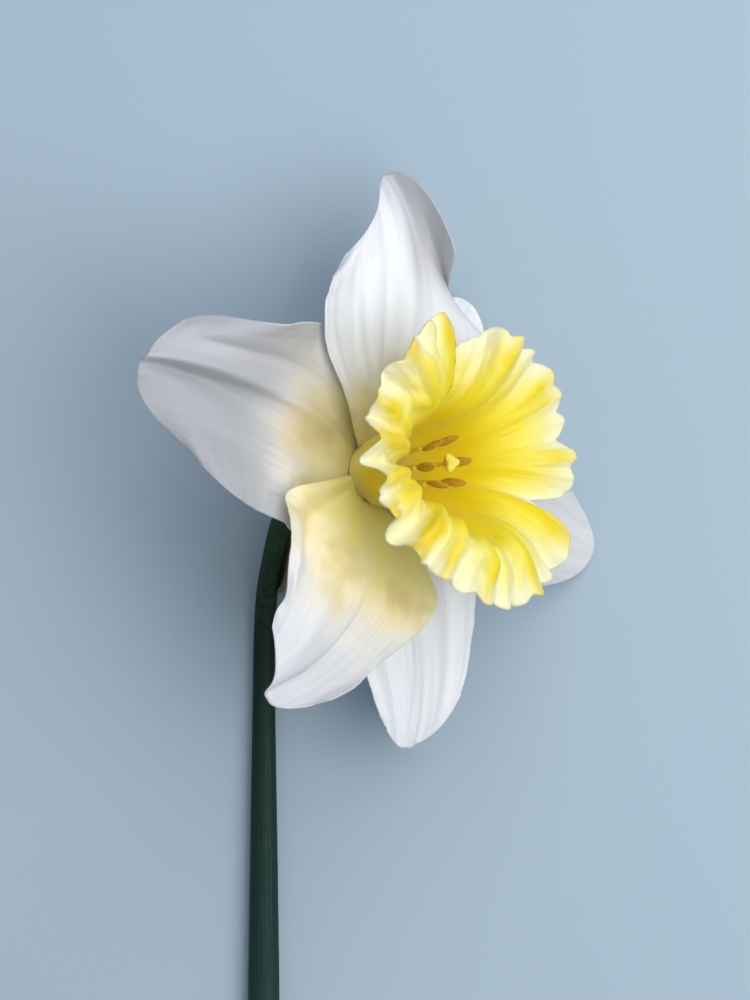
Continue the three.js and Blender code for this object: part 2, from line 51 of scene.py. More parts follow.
class Wire:  # an output socket; arithmetic on it adds Math nodes
    def __init__(self, net, node, output):
        self.net, self.node, self.socket = net, node, node.outputs[output]

    def __add__(self, other):
        return self.net.math("ADD", self, other)

    def __sub__(self, other):
        return self.net.math("SUBTRACT", self, other)

    def __rsub__(self, other):
        return self.net.math("SUBTRACT", other, self)

    def __mul__(self, other):
        return self.net.math("MULTIPLY", self, other)

    def __truediv__(self, other):
        return self.net.math("DIVIDE", self, other)

    def __pow__(self, other):
        return self.net.math("POWER", self, other)

    def __neg__(self):
        return self * -1

    __radd__, __rmul__ = __add__, __mul__

    def out(self, output):
        return Wire(self.net, self.node, output)


class Net:  # one node tree and the few ways of adding to it
    def __init__(self, tree):
        self.tree = tree

    def add(self, kind, settings=None, sockets=None, output=0):
        node = self.tree.nodes.new(kind)
        for name, value in (settings or {}).items():
            if name == "stops":
                while len(node.color_ramp.elements) < len(value):
                    node.color_ramp.elements.new(0.5)
                for stop, (place, color) in zip(node.color_ramp.elements, value):
                    stop.position, stop.color = place, (*color, 1)
            else:
                setattr(node, name, value)
        for key, value in (sockets or {}).items():
            for item in value if isinstance(value, list) else [value]:
                if isinstance(item, Wire):
                    self.tree.links.new(item.socket, node.inputs[key])
                else:
                    node.inputs[key].default_value = item
        return Wire(self, node, output) if node.outputs else node

    def math(self, operation, *values):
        return self.add("ShaderNodeMath", {"operation": operation}, dict(enumerate(values)))

    def vector(self, operation, *values):
        return self.add("ShaderNodeVectorMath", {"operation": operation}, dict(enumerate(values)))

    def stretch(self, vector, amount):
        return self.add("ShaderNodeVectorMath", {"operation": "SCALE"}, {0: vector, 3: amount})

    def smooth(self, value, low, high):
        settings = {"interpolation_type": "SMOOTHSTEP"}
        return self.add("ShaderNodeMapRange", settings, {0: value, 1: low, 2: high})

    def mix(self, factor, a, b):
        settings = {"data_type": "RGBA"}
        a, b = [(*c, 1) if isinstance(c, tuple) else c for c in (a, b)]
        return self.add("ShaderNodeMix", settings, {0: factor, 6: a, 7: b}, 2)

    def join(self, x, y, z):
        return self.add("ShaderNodeCombineXYZ", None, {0: x, 1: y, 2: z})

    def noise(self, vector, scale=1.0, detail=1.0):
        return self.add("ShaderNodeTexNoise", None, {"Vector": vector, "Scale": scale, "Detail": detail})

    def attribute(self, name):
        return self.add("ShaderNodeAttribute", {"attribute_name": name}, None, 2)

    def ramp(self, value, stops):
        return self.add("ShaderNodeValToRGB", {"stops": stops}, {"Fac": value})

    def bump(self, height, strength, distance, under=None):
        sockets = {"Strength": strength, "Distance": distance * mm, "Height": height}
        return self.add("ShaderNodeBump", None, {**sockets, "Normal": under} if under else sockets)


def newFinish(name):
    made = bpy.data.materials.new(name)
    made.use_nodes = True
    made.node_tree.nodes.clear()
    return made, Net(made.node_tree)


def closeFinish(net, shader):
    net.add("ShaderNodeOutputMaterial", None, {"Surface": shader})


class Recipe(Net):  # a geometry nodes tree with named inputs
    def __init__(self, name):
        super().__init__(bpy.data.node_groups.new(name, "GeometryNodeTree"))
        self.side = self.tree.interface.new_socket
        self.side(name="Geometry", in_out="INPUT", socket_type="NodeSocketGeometry")
        self.side(name="Geometry", in_out="OUTPUT", socket_type="NodeSocketGeometry")
        self.start = self.tree.nodes.new("NodeGroupInput")

    def geometry(self):
        return Wire(self, self.start, "Geometry")

    def input(self, name, value=None, kind="Float"):
        socket = self.side(name=name, in_out="INPUT", socket_type="NodeSocket" + kind)
        if value is not None:
            socket.default_value = value
        return Wire(self, self.start, name)

    def attribute(self, name):
        return self.add("GeometryNodeInputNamedAttribute", {"data_type": "FLOAT"}, {"Name": name})

    def store(self, geometry, name, value):
        kind = {"data_type": "FLOAT", "domain": "POINT"}
        sockets = {0: geometry, "Name": name, "Value": value}
        return self.add("GeometryNodeStoreNamedAttribute", kind, sockets)

    def shift(self, geometry, amount):
        offset = self.stretch(self.add("GeometryNodeInputNormal"), amount)
        return self.add("GeometryNodeSetPosition", None, {0: geometry, "Offset": offset})

    def thicken(self, sheet, depth):
        # a closed body half of the depth to each side of the sheet
        under = self.shift(sheet, depth * -0.5)
        grown = self.add("GeometryNodeExtrudeMesh", {"mode": "FACES"},
                         {0: under, "Offset Scale": depth, "Individual": False})
        back = self.add("GeometryNodeFlipFaces", None, {0: under})
        return self.weld(self.add("GeometryNodeJoinGeometry", None, {0: [grown, back]}))

    def weld(self, geometry):
        return self.add("GeometryNodeMergeByDistance", None, {0: geometry, "Distance": 1e-6})

    def close(self, geometry, finish):
        smooth = self.add("GeometryNodeSetShadeSmooth", None, {0: geometry})
        solid = self.add("GeometryNodeRealizeInstances", None, {0: smooth})
        dressed = self.add("GeometryNodeSetMaterial", None, {0: solid, "Material": finish})
        self.add("NodeGroupOutput", None, {0: dressed})


def grow(name, mesh, recipe, values):
    # runs the recipe on the mesh and keeps the result as a plain mesh
    source = bpy.data.objects.new(name + "Source", mesh)
    bpy.context.scene.collection.objects.link(source)
    modifier = source.modifiers.new("recipe", "NODES")
    modifier.node_group = recipe.tree
    for item in recipe.tree.interface.items_tree:
        if item.item_type == "SOCKET" and item.in_out == "INPUT" and item.name in values:
            value = values[item.name]
            modifier[item.identifier] = float(value) if item.socket_type == "NodeSocketFloat" else value
    bpy.context.view_layer.update()
    evaluated = source.evaluated_get(bpy.context.evaluated_depsgraph_get())
    made = bpy.data.objects.new(name, bpy.data.meshes.new_from_object(evaluated))
    made.data.name = name
    source.modifiers.clear()
    bpy.data.objects.remove(source)
    bpy.context.scene.collection.objects.link(made)
    return made


def place(piece, slot, *nodes):
    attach(piece, "root")
    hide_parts(*nodes)
    print(piece.name, len(piece.data.polygons), "faces")


# The flower's own frame: +Z out of the cup's mouth, +Y the flower's top, +X its right.
rise, yaw = math.radians(flower["rise"]), math.radians(flower["yaw"])
axis = Vector((math.cos(rise) * math.cos(yaw), math.cos(rise) * math.sin(yaw), math.sin(rise)))
top = Vector((-math.sin(yaw), math.cos(yaw), 0))
right = top.cross(axis)
turned = Matrix((right, top, axis)).transposed()
flowerFrame = np.array(turned)


def toFloor(points):
    # points of the flower's frame, in millimetres, to metres above the floor
    return (points @ flowerFrame.T + np.array(flower["centre"])) * mm


def smoothstep(x, low, high):
    t = np.clip((x - low) / (high - low), 0, 1)
    return t * t * (3 - 2 * t)


def gridMesh(name, points, ring=False, attributes=None):
    # a quad grid from rows by columns of points; a ring joins its last column to its first
    rows, columns = points.shape[:2]
    number = np.arange(rows * columns).reshape(rows, columns)
    if ring:
        number = np.concatenate([number, number[:, :1]], axis=1)
    corners = (number[:-1, :-1], number[:-1, 1:], number[1:, 1:], number[1:, :-1])
    faces = np.stack(corners, -1).reshape(-1, 4)
    mesh = bpy.data.meshes.new(name)
    mesh.from_pydata(points.reshape(-1, 3), [], faces.tolist())
    for label, values in (attributes or {}).items():
        layer = mesh.attributes.new(label, "FLOAT", "POINT")
        layer.data.foreach_set("value", np.ascontiguousarray(values, np.float32).ravel())
    mesh.update()
    return mesh


petalLook = {
    "shade": (0.86, 0.86, 0.90),
    "light": (0.91, 0.91, 0.93),
    # painted shade: the grey of broad bands that stand for shade along the folds
    "shadeBand": (0.60, 0.61, 0.63),
    "shadeBandShare": 0.45,
    "paintedShade": (0.31, 0.32, 0.35),  # painted shade: a grey for shade on the blade and for what shows through a thin half
    # painted shade: ochre patches where the painted yellow light is half faded
    "ochreShade": (0.58, 0.44, 0.20),
    "ochreShadeShare": 0.48,
    # painted reflected light: the cup's yellow light painted on the blade, from the white blade to the
    # yellow foot
    "bounceStops": [
        (0.0, (0.88, 0.88, 0.88)), (0.3, (0.80, 0.74, 0.58)),
        (0.6, (0.90, 0.80, 0.46)), (1.0, (0.93, 0.82, 0.26)),
    ],
    "strands": (24, 1.6),  # how many across and along
    "shadeBands": (4.5, 0.8),
    "shadeBandDrift": 14.0,
    "cloudScale": 110.0,
    "cellScale": 2600.0,
}


def petalFinish():
    look = petalLook
    finish, net = newFinish("petalWhite")
    along, across, warmth, thin = (net.attribute(label) for label in ("along", "across", "warmth", "thin"))
    place3d = net.add("ShaderNodeTexCoord", None, None, "Object")
    strands = net.noise(net.join(across * look["strands"][0], along * look["strands"][1], 0.0), detail=3.0)
    cloud = net.noise(place3d, look["cloudScale"], 2.0)
    cells = net.noise(place3d, look["cellScale"])
    # painted shade: broad grey bands along the blade, for the shade of its folds
    broad = net.join(across * look["shadeBands"][0], along * look["shadeBands"][1], 0.0)
    shadeBands = net.noise(net.vector("ADD", broad, net.stretch(place3d, look["shadeBandDrift"])))
    white = net.mix(net.smooth(strands, 0.3, 0.7), look["shade"], look["light"])
    white = net.mix(net.smooth(shadeBands, 0.42, 0.66) * look["shadeBandShare"], white, look["shadeBand"])
    # painted shade: grey mixed into the blade by the thin attribute, for shade and for what shows through
    white = net.mix(thin, white, look["paintedShade"])
    # painted reflected light: the cup's yellow on the foot ends in strands and clouds, with patches of
    # painted ochre shade where it is half faded
    reach = warmth + ((cloud - 0.5) * 0.5 + (strands - 0.5) * 0.5) * net.smooth(warmth, 0.0, 0.3)
    patch = net.smooth(warmth, 0.1, 0.4) * (1 - net.smooth(warmth, 0.6, 0.9))
    ochreShade = net.smooth(cloud, 0.4, 0.62) * patch * look["ochreShadeShare"]
    tint = net.mix(ochreShade, net.ramp(reach, look["bounceStops"]), look["ochreShade"])
    color = net.mix(net.smooth(reach, -0.05, 0.45), white, tint)
    fine = net.bump(cells, 0.08, 0.1, net.bump(strands, 0.1, 0.5))
    shader = net.add("ShaderNodeBsdfPrincipled", None, {
        "Base Color": color, "Roughness": strands * 0.15 + 0.42, "Normal": fine,
        "Subsurface Weight": 0.35, "Subsurface Radius": (1.0, 0.9, 0.75), "Subsurface Scale": 1.2 * mm,
        "Sheen Weight": 0.15, "Specular IOR Level": 0.35,
    })
    closeFinish(net, shader)
    return finish


coronaLook = {
    # from the tube up to the lip
    "stops": [
        (0.0, (0.92, 0.82, 0.34)), (0.18, (0.92, 0.74, 0.03)), (0.45, (0.76, 0.60, 0.006)),
        (0.72, (0.77, 0.65, 0.02)), (0.88, (0.79, 0.71, 0.22)), (1.0, (0.81, 0.77, 0.56)),
    ],
    # painted shade: darker yellows in the fold troughs
    "troughShade": (0.76, 0.62, 0.004),
    "deepTroughShade": (0.70, 0.50, 0.005),
    # painted highlights: paler yellows on the fold crests and on the knobs of the lip
    "crest": (0.82, 0.78, 0.48),
    "knobHighlight": (0.84, 0.80, 0.52),
    "hem": (0.82, 0.78, 0.50),  # the pale edge of the lip
    "cloudScale": 120.0,
    "grainScale": 1800.0,
}


def coronaFinish():
    look = coronaLook
    finish, net = newFinish("coronaYellow")
    share, crest = net.attribute("along"), net.attribute("crest")
    troughShade = -crest
    place3d = net.add("ShaderNodeTexCoord", None, None, "Object")
    cloud = net.noise(place3d, look["cloudScale"], 3.0)
    grain = net.noise(place3d, look["grainScale"], 2.0)
    color = net.ramp(share + (cloud - 0.5) * 0.12, look["stops"])
    # painted shade in the troughs and painted highlights on the crests and knobs: the height and the share
    # of the wall over which each tint comes in, and its strength
    shadeAndHighlights = {
        "troughShade": (troughShade, 0.0, 0.6, 0.2, 0.6, 1.0), "deepTroughShade": (troughShade, 0.35, 1.2, 0.5, 0.8, 1.0),
        "crest": (crest, 0.0, 0.9, 0.45, 0.9, 0.7), "knobHighlight": (crest, 0.6, 1.3, 0.7, 0.95, 0.7),
    }
    for tint, (height, low, high, start, end, strength) in shadeAndHighlights.items():
        amount = net.smooth(height, low, high) * net.smooth(share, start, end) * strength
        color = net.mix(amount, color, look[tint])
    # the pale hem is kept out of the painted trough shade
    hem = net.smooth(share, 0.88, 1.0) * (1 - net.smooth(troughShade, 0.4, 1.0) * 0.75) * 0.65
    color = net.mix(hem, color, look["hem"])
    shader = net.add("ShaderNodeBsdfPrincipled", None, {
        "Base Color": color, "Roughness": 0.46, "Normal": net.bump(grain, 0.15, 0.2),
        "Subsurface Weight": 0.3, "Subsurface Radius": (1.0, 0.75, 0.2), "Subsurface Scale": 1.2 * mm,
        "Sheen Weight": 0.1, "Specular IOR Level": 0.4,
    })
    closeFinish(net, shader)
    return finish


def skinFinish(name, stops, streaks, reach, contrast=0.5, roughness=0.5, subsurface=0.0, gloss=0.4):
    # a ramp along the piece, darkened by streaks that follow it; reach is how often they break
    shade, inside = (0.55, 0.6, 0.6), (0.30, 0.42, 0.16)  # a streak's tint, a cut end's colour
    finish, net = newFinish(name)
    labels = ("along", "across", "turnX", "turnY", "cut")
    along, across, turnX, turnY, cut = (net.attribute(label) for label in labels)
    strands = net.noise(net.join((turnX + across) * streaks, turnY * streaks, along * reach), detail=3.0)
    grain = net.noise(net.add("ShaderNodeTexCoord", None, None, "Object"), 900.0, 3.0)
    body = net.ramp(along + (grain - 0.5) * 0.2, stops)
    color = net.mix(net.smooth(strands, 0.3, 0.7) * contrast, body, net.vector("MULTIPLY", body, shade))
    color = net.mix(cut, color, inside)
    shader = net.add("ShaderNodeBsdfPrincipled", None, {
        "Base Color": color, "Roughness": grain * 0.2 + (roughness - 0.1),
        "Normal": net.bump(grain, 0.2, 0.1, net.bump(strands, 0.25, 0.3)),
        "Subsurface Weight": subsurface, "Subsurface Radius": (1.0, 0.8, 0.4), "Subsurface Scale": 1 * mm,
        "Specular IOR Level": gloss,
    })
    closeFinish(net, shader)
    return finish


ring = {"radius": 7, "inner": -0.6, "outer": -2.2}  # where the tepals start
blade = {
    "rows": 110,
    "columns": 80,
    "from": -0.03,  # the foot runs this share of the length in towards the cup
    "cornerPower": 2.2,  # how round the tip's corners are
    "clawSlope": 1.35,  # how fast the foot widens
    "notchWidth": 0.16,
    "curlFrom": 0.6,  # the share of the length where the tip starts to curl
    "foldSoftness": 1.5,
    "waveCycles": 1.5,
    "thickness": 0.55,
    "edge": 0.28,
    "veins": 15,
    "veinHeight": 0.04,
    "ripple": 0.25,
    "rest": 0.3,  # how near the floor a tip's middle comes
}

# Clockwise from the top; "right" is the clockwise margin. The outline, bend and wave numbers were fitted by
# least squares to outline points, rounded, and some of them changed.
# A ridge has its place across (-1 to 1) at the foot and at the tip, its half-width, its height, and the
# share of the length where it fades in and out. "bounce" is how much of the cup's yellow light is painted
# onto the blade as painted reflected light, and between which distances from the axis that fades. "thin" is
# how much painted shade, a grey for shade and for the floor showing through, each half takes, left and
# right, from "shadeFrom" of the length on.
tepals = {
    "tepal_inner_top": {
        "inner": True, "bearing": 6.5, "length": 45.7, "halfWidth": 17.5, "rightExtra": -0.06,
        "cornerDrop": 0.29, "lift": (24.2, -13.8), "curl": -20.4, "sweep": 0.04,
        "roll": (-14.8, 27.3), "fold": (-13.2, 0.5), "cup": 4.6, "lobe": 0.11, "notch": 0.015,
        "claw": 0.28, "widestAt": 0.53, "tip": 0.52, "wave": ((1.5, 0.3), (5.6, -0.3)),
        "ridges": [
            (-0.27, -0.2, 0.09, 0.6, 0.1, 0.9), (-0.1, -0.1, 0.06, -0.8, 0.1, 0.8),
            (0.2, 0.15, 0.1, 0.8, 0.1, 1.1), (0.42, 0.38, 0.13, -1.1, 0.3, 1.1),
            (-0.5, -0.5, 0.08, 0.8, 0.1, 0.65), (-0.55, -0.5, 0.15, -0.7, 0.5, 0.95),
            (-0.75, -0.75, 0.08, -0.7, 0.1, 0.75),
        ], "warm": (0.6, 7, 30), "thin": (0.1, 0.75), "shadeFrom": 0.4, "seed": 1,
    },
    "tepal_outer_upper_right": {
        "inner": False, "bearing": 47.8, "length": 37.4, "halfWidth": 16.5, "rightExtra": 0.07,
        "cornerDrop": 0.29, "lift": (5.4, -10), "curl": -2, "sweep": 0.03,
        "roll": (0, 2), "fold": (4.3, 1.7), "cup": -0.2, "lobe": 0.008, "notch": 0.007,
        "claw": 0.22, "widestAt": 0.42, "tip": 0.6, "wave": ((-1, 0.4), (1.1, 0.12)),
        "ridges": [(0, 0, 0.1, 0.4, 0.1, 0.95)], "warm": (0.1, 8, 24), "thin": (0, 0), "seed": 2,
    },
    "tepal_inner_right": {
        "inner": True, "bearing": 115.3, "length": 43.3, "halfWidth": 16.6, "rightExtra": -0.14,
        "cornerDrop": 0.24, "lift": (11.7, 6.1), "curl": 15.8, "sweep": 0,
        "roll": (-1.2, 0), "fold": (7.5, 3.8), "cup": 4.6, "lobe": -0.02, "notch": 0,
        "claw": 0.3, "widestAt": 0.41, "tip": 0.6, "wave": ((-0.5, 0.37), (0.9, 0.14)),
        "ridges": [(0, 0, 0.09, 0.45, 0.1, 1), (-0.4, -0.3, 0.1, -0.35, 0.1, 0.9)], "warm": (0.3, 8, 26),
        "thin": (0.5, 0.6), "seed": 3,
    },
    "tepal_outer_bottom": {
        "inner": False, "bearing": 169.8, "length": 46.1, "halfWidth": 17.6, "rightExtra": 0.06,
        "cornerDrop": 0.18, "lift": (11.2, -27.3), "curl": -9.8, "sweep": -0.014,
        "roll": (-2, -4.4), "fold": (8, 14), "cup": -1.6, "lobe": 0, "notch": 0.005,
        "claw": 0.34, "widestAt": 0.32, "tip": 0.56, "wave": ((-0.5, 0.26), (0.7, 0.34)),
        "ridges": [
            (0, 0.3, 0.06, -0.7, 0.2, 1.05), (0.08, 0.14, 0.08, 0.5, 0.1, 1.1),
            (-0.1, -0.05, 0.07, -0.45, 0.3, 1.1), (-0.55, -0.45, 0.1, -0.5, 0.2, 1),
        ], "warm": (0.5, 8, 28), "thin": (0, 0), "seed": 4,
    },
    "tepal_inner_lower_left": {
        "inner": True, "bearing": 209.6, "length": 44.6, "halfWidth": 18.2, "rightExtra": 0.28,
        "cornerDrop": 0.12, "lift": (34.6, -16.1), "curl": -20.1, "sweep": 0.335,
        "roll": (17.4, -3.4), "fold": (16.5, -15.7), "cup": 2, "lobe": -0.034, "notch": 0.018,
        "claw": 0.3, "rightClaw": 0.15, "widestAt": 0.36, "tip": 0.4, "wave": ((2.8, -0.2), (-1.7, -0.2)),
        "rightDents": [(0.16, 0.12, 0.14), (0.84, 0.07, 0.11)],
        "ridges": [
            (-0.15, 0, 0.08, -0.9, 0.15, 1.1), (0.3, 0.35, 0.15, 0.9, 0.15, 1),
            (0.68, 0.6, 0.09, -1.1, 0.05, 0.7), (0.88, 0.8, 0.08, 0.5, 0.1, 0.9),
        ], "warm": (1.0, 8, 46), "thin": (0.55, 0.45), "seed": 5,
    },
    "tepal_outer_left": {
        "inner": False, "bearing": 308.7, "length": 45.1, "halfWidth": 19.2, "rightExtra": -0.2,
        "cornerDrop": 0.16, "lift": (15.1, -32), "curl": -17.7, "sweep": -0.27,
        "roll": (6.6, 53.9), "fold": (34.2, -3.3), "cup": 0, "lobe": -0.01, "notch": 0,
        "claw": 0.38, "widestAt": 0.33, "tip": 0.545, "wave": ((1.7, 0.17), (-4.3, -0.2)),
        "ridges": [
            (0.02, 0.47, 0.1, 1.5, 0.05, 1.2), (-0.3, 0.24, 0.12, -1.3, 0.05, 1.1),
            (-0.62, -0.4, 0.1, -0.5, 0.2, 0.9), (0.4, 0.7, 0.1, -0.8, 0.15, 0.95),
        ], "warm": (0.7, 6, 36), "thin": (0.9, 0.75), "seed": 6,
    },
}


def cubic(x, x0, x1, y0, y1, slope0, slope1):
    reach = x1 - x0
    t = (x - x0) / reach
    low = (2 * t**3 - 3 * t**2 + 1) * y0 + (t**3 - 2 * t**2 + t) * reach * slope0
    return low + (3 * t**2 - 2 * t**3) * y1 + (t**3 - t**2) * reach * slope1


def tepalPoints(tepal, s, w):
    # the middle surface at s along the blade and w across it, from -1 (left) to 1 (right)
    side, reach, isRight = np.sign(w), np.abs(w), w > 0
    claw = np.where(isRight, tepal.get("rightClaw", tepal["claw"]), tepal["claw"])
    widest, tip, drop = tepal["widestAt"], tepal["tip"], tepal["cornerDrop"]
    tipSlope = -tip * (1 - 2 * drop) / (blade["cornerPower"] * drop)
    opening = cubic(s, 0, widest, claw, 1, blade["clawSlope"] * (1 - claw) / widest, 0)
    closing = cubic(s, widest, 1, 1, tip, 0, tipSlope)
    x = w * tepal["halfWidth"] * (1 + side * tepal["rightExtra"]) * np.where(s < widest, opening, closing)
    for at, width, depth in tepal.get("rightDents", []):
        x = x * (1 - isRight * depth * np.exp(-(((s - at) / width) ** 2)) * reach**2)
    lobe = tepal["lobe"] * side * 4 * reach * (1 - reach) * s**4
    notch = tepal["notch"] * np.exp(-((w / blade["notchWidth"]) ** 2)) * s**8
    along = s - drop * reach ** blade["cornerPower"] * s**2 + lobe + notch

    # the midrib's run outwards and rise along the axis, from its angle
    share = np.linspace(-0.1, 1.3, 561)
    curled = np.maximum(share - blade["curlFrom"], 0) / (1 - blade["curlFrom"])
    curl = math.radians(tepal["curl"]) * curled**2
    lift = np.radians(tepal["lift"][0] + (tepal["lift"][1] - tepal["lift"][0]) * share) + curl
    middle = (lift[1:] + lift[:-1]) / 2
    step = share[1] - share[0]
    run, climb = (
        np.interp(along, share, total - np.interp(0, share, total))
        for total in (np.append(0, np.cumsum(turn(middle) * step)) for turn in (np.cos, np.sin))
    )
    angle = np.interp(along, share, lift)

    bearing = math.radians(tepal["bearing"])
    out = np.array([math.sin(bearing), math.cos(bearing), 0])
    clockwise = np.array([math.cos(bearing), -math.sin(bearing), 0])
    forward = np.array([0, 0, 1.0])
    wrap = 1 - np.cos(np.minimum(np.abs(x) / ring["radius"], 1.2))
    wrap = ring["radius"] * wrap * (1 - smoothstep(s, 0, 0.4))
    foot = ring["inner"] if tepal["inner"] else ring["outer"]
    length, sweep = tepal["length"], tepal["sweep"]
    point = (ring["radius"] + run * length - wrap)[..., None] * out
    point = point + (foot + climb * length)[..., None] * forward
    point = point + (sweep * length * along**2)[..., None] * clockwise

    tangent = np.cos(angle)[..., None] * out + np.sin(angle)[..., None] * forward
    tangent = tangent + (2 * sweep * along)[..., None] * clockwise
    tangent = tangent / np.linalg.norm(tangent, axis=-1, keepdims=True)
    sideways = clockwise - (tangent @ clockwise)[..., None] * tangent
    sideways = sideways / np.linalg.norm(sideways, axis=-1, keepdims=True)
    normal = np.cross(sideways, tangent)
    rolled = tepal["roll"][0] + (tepal["roll"][1] - tepal["roll"][0]) * np.clip(along, 0, 1.3)
    roll = (np.radians(rolled) * smoothstep(along, 0, 0.2))[..., None]
    sideways, normal = (
        sideways * np.cos(roll) + normal * np.sin(roll),
        normal * np.cos(roll) - sideways * np.sin(roll),
    )

    fold = np.radians(np.where(isRight, tepal["fold"][1], tepal["fold"][0])) * np.clip(3 * s, 0, 1)
    (leftDepth, leftPhase), (rightDepth, rightPhase) = tepal["wave"]
    depth, phase = np.where(isRight, rightDepth, leftDepth), np.where(isRight, rightPhase, leftPhase)
    wave = depth * np.sin(2 * math.pi * (blade["waveCycles"] * s + phase)) * reach**2
    softness = blade["foldSoftness"]
    lifted = (np.hypot(x, softness) - softness) * np.sin(fold)
    lifted = lifted + tepal["cup"] * (x / tepal["halfWidth"]) ** 2 + wave * np.clip(2.5 * s, 0, 1)
    for footPlace, tipPlace, halfWidth, height, start, end in tepal["ridges"]:
        fade = smoothstep(s, start - 0.1, start + 0.2) * (1 - smoothstep(s, end - 0.2, end))
        place = footPlace + (tipPlace - footPlace) * s**3
        lifted = lifted + height * fade * np.exp(-(((w - place) / halfWidth) ** 2))
    return point + (x * np.cos(fold))[..., None] * sideways + lifted[..., None] * normal


def sheetRecipe(name, finish):
    # a living sheet: lengthwise veins and a rippled margin on a middle surface, then its thickness
    recipe = Recipe(name)
    geometry = recipe.geometry()
    thickness, edge = recipe.input("Thickness"), recipe.input("Edge thickness")
    veins, veinHeight = recipe.input("Veins"), recipe.input("Vein height")
    ripple, seed = recipe.input("Ripple"), recipe.input("Seed")
    along, across = recipe.attribute("along"), recipe.attribute("across")
    rim = recipe.math("ABSOLUTE", across)
    # veins wander a little, and fade where the sheet is smooth and towards its edges
    wander = recipe.noise(recipe.join(across * 2, along * 3, seed))
    strength = recipe.noise(recipe.join(across * 5, along * 1.2, seed * 1.7))
    inside = (1 - recipe.smooth(rim, 0.8, 1.0)) * (1 - recipe.smooth(along, 0.8, 1.0))
    angle = (across + (wander - 0.5) * 0.3) * veins * math.pi
    relief = recipe.math("COSINE", angle) * veinHeight * inside * recipe.smooth(strength, 0.35, 0.7)
    relief = relief + (strength - 0.5) * veinHeight * 6 * inside
    flutter = recipe.noise(recipe.join(across * 1.5, along * 9, seed * 3.1), detail=2.0)
    relief = relief + (flutter - 0.5) * 4 * ripple * recipe.smooth(rim, 0.45, 1.0)
    thin = recipe.smooth(recipe.math("MAXIMUM", rim, along), 0.8, 1.0)
    depth = thickness + (edge - thickness) * thin
    recipe.close(recipe.thicken(recipe.shift(geometry, relief), depth), finish)
    return recipe


petalRecipe = sheetRecipe("petalSheet", petalFinish())
for name, tepal in tepals.items():
    rows, columns = np.linspace(blade["from"], 1, blade["rows"]), np.linspace(-1, 1, blade["columns"])
    s, w = np.meshgrid(rows, columns, indexing="ij")
    points = tepalPoints(tepal, s, w)
    # painted reflected light: the cup's yellow light on the blade, fading with the distance from the axis
    strength, near, far = tepal["warm"]
    warmth = strength * (1 - smoothstep(np.hypot(points[..., 0], points[..., 1]), near, far))
    # painted shade: how much grey each half takes, from some share of the length on
    leftShade, rightShade = tepal["thin"]
    shadeFrom = tepal.get("shadeFrom", 0.1)
    thin = leftShade + (rightShade - leftShade) * smoothstep(w, -0.1, 0.5)
    thin = thin * smoothstep(s, shadeFrom, shadeFrom + 0.4)
    facts = {"along": s, "across": w, "warmth": warmth, "thin": thin}
    points = toFloor(points)
    points[..., 2] = np.maximum(points[..., 2], blade["rest"] * mm)
    middle = gridMesh(name, points, False, facts)
    middle.flip_normals()
    piece = grow(name + "_blade", middle, petalRecipe, {
        "Thickness": blade["thickness"] * mm, "Edge thickness": blade["edge"] * mm,
        "Veins": blade["veins"], "Vein height": blade["veinHeight"] * mm,
        "Ripple": blade["ripple"] * mm, "Seed": tepal["seed"],
    })
    place(piece, "petal", name)


corona = {
    "foot": (5.3, -2.6),  # radius and height where the wall starts
    "footFlare": 14,  # degrees off the axis
    "footShare": 0.35,  # of the wall, over which the foot's flare becomes the wall's
    "length": 38.5,  # along the wall
    "rows": 90,
    "columns": 496,  # sixteen to a lobe
    "thickness": 0.6,
    "edge": 0.4,
    "pleats": 11,
    "pleatDepth": 0.95,
    "pleatPhase": 35,
    "ruffles": 21,
    "leftRuffle": 1.9,
    "rightRuffle": 0.15,
    "rufflePhase": 150,
    "lobes": 31,  # the rim's rounded teeth
    "lobeCut": 0.035,
    "lobeRise": 0.3,
    "lobeShape": 0.7,  # under 1 gives rounder teeth with sharper cuts
    "lobePhase": 29,
    "crinkle": 0.7,
    "crumple": 1.1,  # knobs of the rolled lip on the left
    "steps": 60,
    "seed": 4,
}
# Every 30 degrees from the top, clockwise: the share of the length where the wall bends into
# its lip, half the share the bend takes, the wall's flare and the lip's, and the length.
# Bends, lip flares and lengths began as such a fit too; most have been changed.
coronaForm = np.array([
    (0.60, 0.29, 14, 95, 0.98), (0.70, 0.29, 14, 87, 0.98), (0.62, 0.29, 14, 86, 0.98),
    (0.64, 0.29, 14, 83, 0.96), (0.62, 0.27, 16, 80, 1.04), (0.74, 0.16, 19, 90, 1.04),
    (0.86, 0.10, 21, 98, 1.11), (0.86, 0.12, 18, 106, 1.10), (0.70, 0.18, 15, 98, 0.99),
    (0.57, 0.26, 14, 76, 0.89), (0.64, 0.29, 14, 96, 0.94), (0.77, 0.29, 14, 93, 1.10),
])
# splits in the rim: bearing, half-width in degrees, share of the wall's length
coronaSplits = [
    (343, 6, 0.08), (359, 5, 0.20), (8, 8, 0.15), (86, 5, 0.05), (102, 5, 0.04), (119, 8, 0.28),
]


def turnBetween(start, end):
    return (end - start + 180) % 360 - 180


def roundForm(column, bearing):
    # one column of the form at any bearing, on a smooth closed curve
    values = coronaForm[:, column]
    place = bearing / 360 * len(values)
    before = np.floor(place).astype(int)
    t = place - before
    a, b, c, d = (values[(before + k) % len(values)] for k in (-1, 0, 1, 2))
    return b + 0.5 * t * (c - a + t * (2 * a - 5 * b + 4 * c - d + t * (3 * (b - c) + d - a)))


